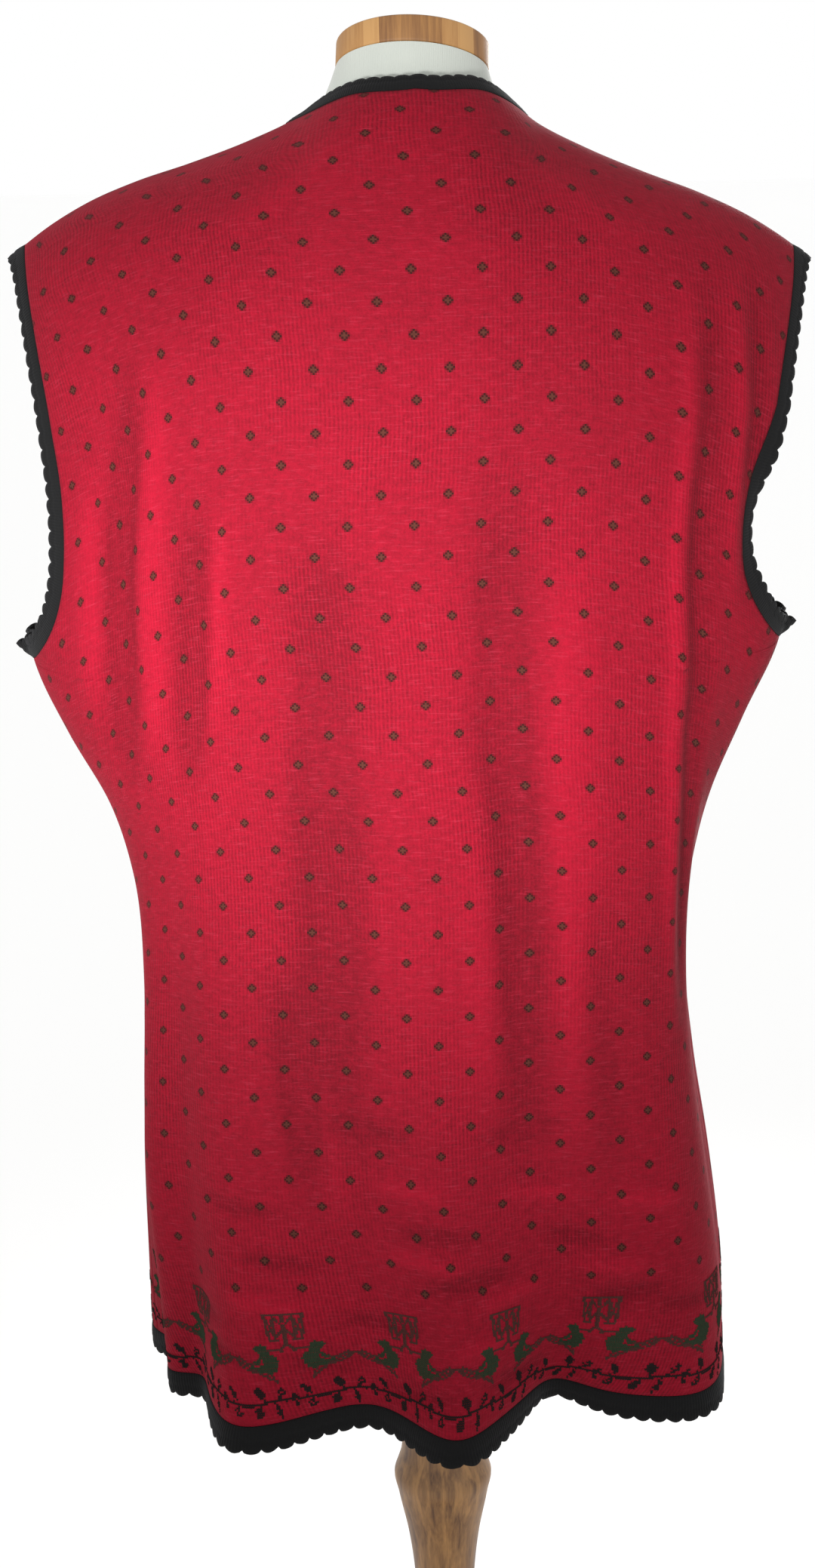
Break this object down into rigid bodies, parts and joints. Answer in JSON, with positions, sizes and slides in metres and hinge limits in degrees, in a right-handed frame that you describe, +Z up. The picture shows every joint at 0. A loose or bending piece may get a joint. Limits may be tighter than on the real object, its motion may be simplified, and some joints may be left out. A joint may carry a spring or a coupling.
{
  "type": "sleeveless cardigan on dress form",
  "caption": "Fine-knit sleeveless cardigan with scalloped trims and a V neck, worn by a limbless dress form on a turned wooden stand.",
  "frame": {"origin": "centre of the stand's round base, on its underside, at floor level", "axes": "+Z up along the stand's stem; the garment's front opening faces +Y and its back faces -Y; +X is the wearer's right"},
  "size_m": [0.4157, 0.33, 1.1222],
  "materials": {
    "wool_red": "fine-gauge wool knit with a soft nap",
    "wool_black": "close wool knit edging",
    "button_black": "satin",
    "form_jersey": "cotton jersey stretched over the form",
    "cap_bamboo": "laminated bamboo, oiled",
    "stand_wood": "turned hardwood, waxed"
  },
  "bodies": {
    "root": {"back_panel": "wool_red", "right_front": "wool_red", "left_front": "wool_red", "hem_trim": "wool_black", "left_armhole_trim": "wool_black", "right_armhole_trim": "wool_black", "neck_and_front_trim": "wool_black", "button_1": "button_black", "button_2": "button_black", "button_3": "button_black", "button_4": "button_black", "button_5": "button_black", "button_6": "button_black", "form_torso": "form_jersey", "neck_cap": "cap_bamboo", "stem": "stand_wood", "base": "stand_wood"}
  },
  "joints": []
}
